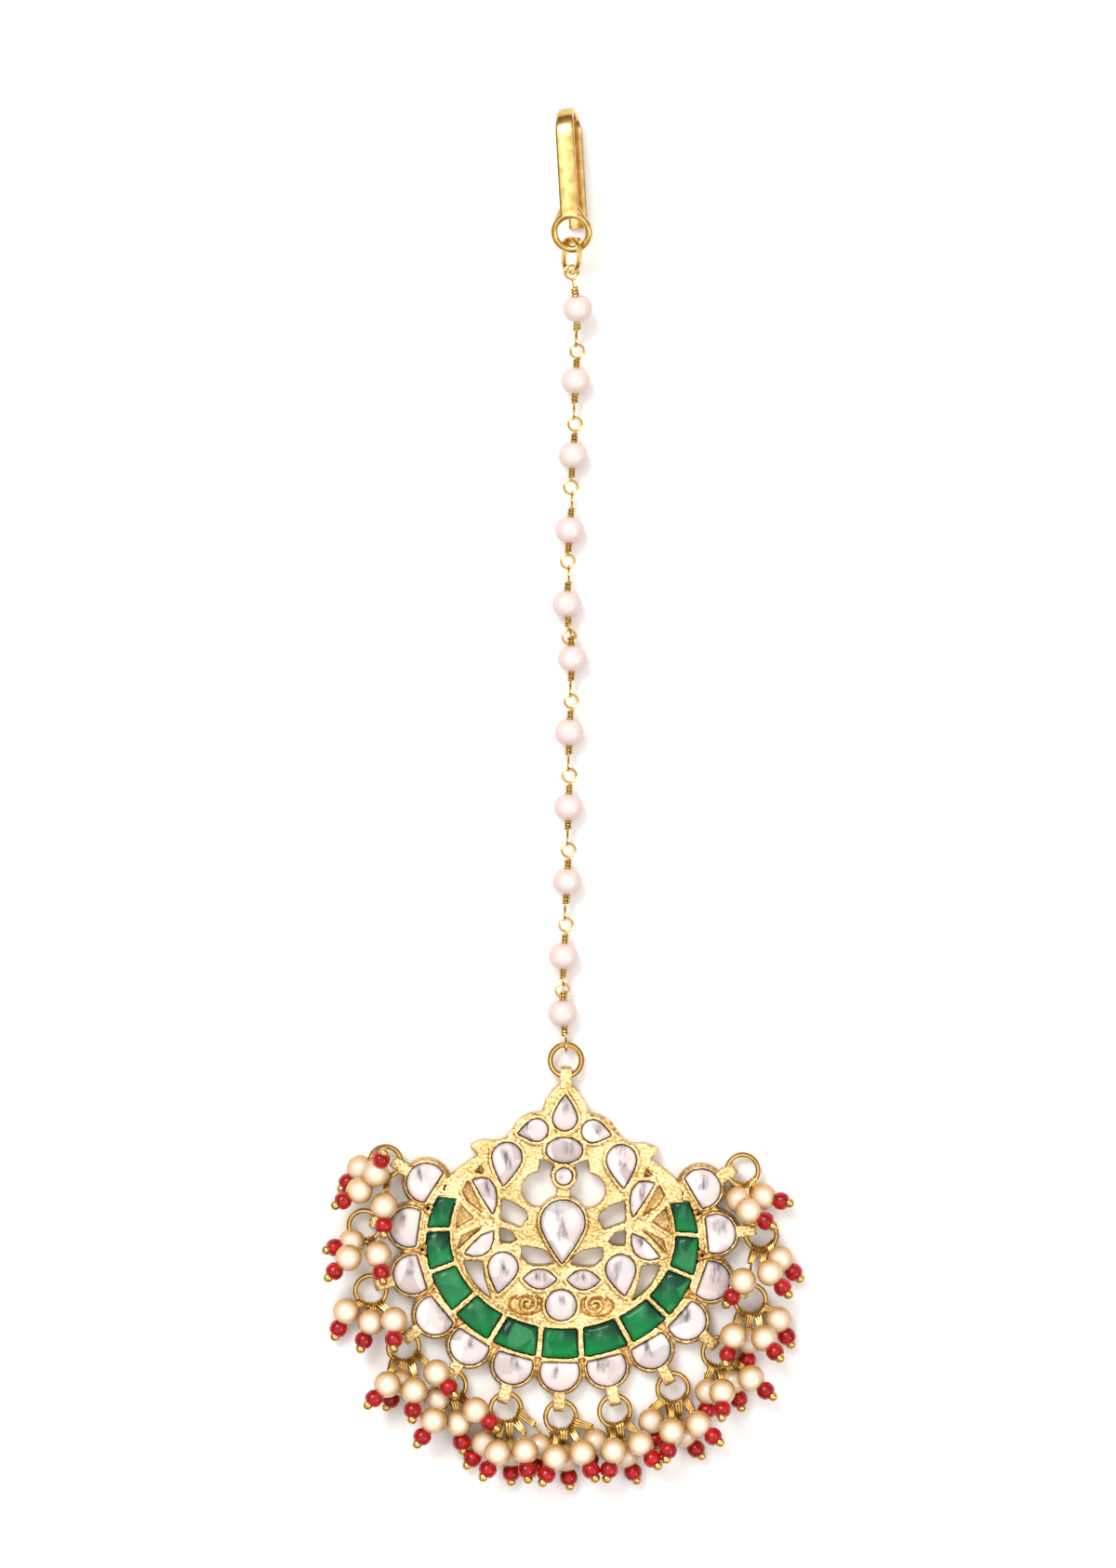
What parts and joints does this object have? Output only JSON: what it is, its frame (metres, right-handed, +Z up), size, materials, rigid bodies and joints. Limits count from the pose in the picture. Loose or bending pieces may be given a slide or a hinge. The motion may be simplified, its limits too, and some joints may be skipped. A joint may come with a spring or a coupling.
{
  "type": "maang tikka hair jewel",
  "caption": "Maang tikka lying flat: a band hook, a wire-linked pearl chain and a cast crescent pendant with cut stones and pearl drops on jump rings.",
  "frame": {"origin": "on the flat back of the pendant's setting, behind its centre stone, at the middle of the crescent's curve", "axes": "+Z up from the surface that it lies on, towards the stones; +Y along the chain towards the hook; +X to the right as seen from above"},
  "size_m": [0.0514, 0.147, 0.0064],
  "materials": {
    "gold_setting": "matt granular cast gold with polished edges",
    "gold_wire": "polished gold wire and band",
    "clear_stone": "cut pinkish white glass, foiled behind",
    "green_stone": "cut emerald green glass, foiled behind",
    "chain_pearl": "pink nacre pearl on gold wire",
    "drop_pearl": "cream nacre pearl on gold wire"
  },
  "bodies": {
    "root": {"base_round_stone": "clear_stone", "bead_cluster_01": "drop_pearl", "bead_cluster_02": "drop_pearl", "bead_cluster_03": "drop_pearl", "bead_cluster_04": "drop_pearl", "bead_cluster_05": "drop_pearl", "bead_cluster_06": "drop_pearl", "bead_cluster_07": "drop_pearl", "bead_cluster_08": "drop_pearl", "bead_cluster_09": "drop_pearl", "bead_cluster_10": "drop_pearl", "bead_cluster_11": "drop_pearl", "bead_cluster_12": "drop_pearl", "bead_cluster_13": "drop_pearl", "centre_pear_stone": "clear_stone", "crown_drop_stone_left": "clear_stone", "crown_drop_stone_right": "clear_stone", "green_stone_01": "green_stone", "green_stone_02": "green_stone", "green_stone_03": "green_stone", "green_stone_04": "green_stone", "green_stone_05": "green_stone", "green_stone_06": "green_stone", "green_stone_07": "green_stone", "green_stone_08": "green_stone", "green_stone_09": "green_stone", "green_stone_10": "green_stone", "green_stone_11": "green_stone", "hook": "gold_wire", "hook_jump_ring": "gold_wire", "lower_leaf_stone_left": "clear_stone", "lower_leaf_stone_right": "clear_stone", "lower_pear_stone_left": "clear_stone", "lower_pear_stone_right": "clear_stone", "navette_stone_left": "clear_stone", "navette_stone_right": "clear_stone", "oval_stone": "clear_stone", "pearl_chain": "chain_pearl", "pendant_jump_ring": "gold_wire", "pendant_setting": "gold_setting", "rim_stone_01": "clear_stone", "rim_stone_02": "clear_stone", "rim_stone_03": "clear_stone", "rim_stone_04": "clear_stone", "rim_stone_05": "clear_stone", "rim_stone_06": "clear_stone", "rim_stone_07": "clear_stone", "rim_stone_08": "clear_stone", "rim_stone_09": "clear_stone", "rim_stone_10": "clear_stone", "rim_stone_11": "clear_stone", "rim_stone_12": "clear_stone", "rim_stone_13": "clear_stone", "small_round_stone": "clear_stone", "top_pear_stone": "clear_stone", "upper_leaf_stone_left": "clear_stone", "upper_leaf_stone_right": "clear_stone", "upper_pear_stone_left": "clear_stone", "upper_pear_stone_right": "clear_stone"}
  },
  "joints": []
}
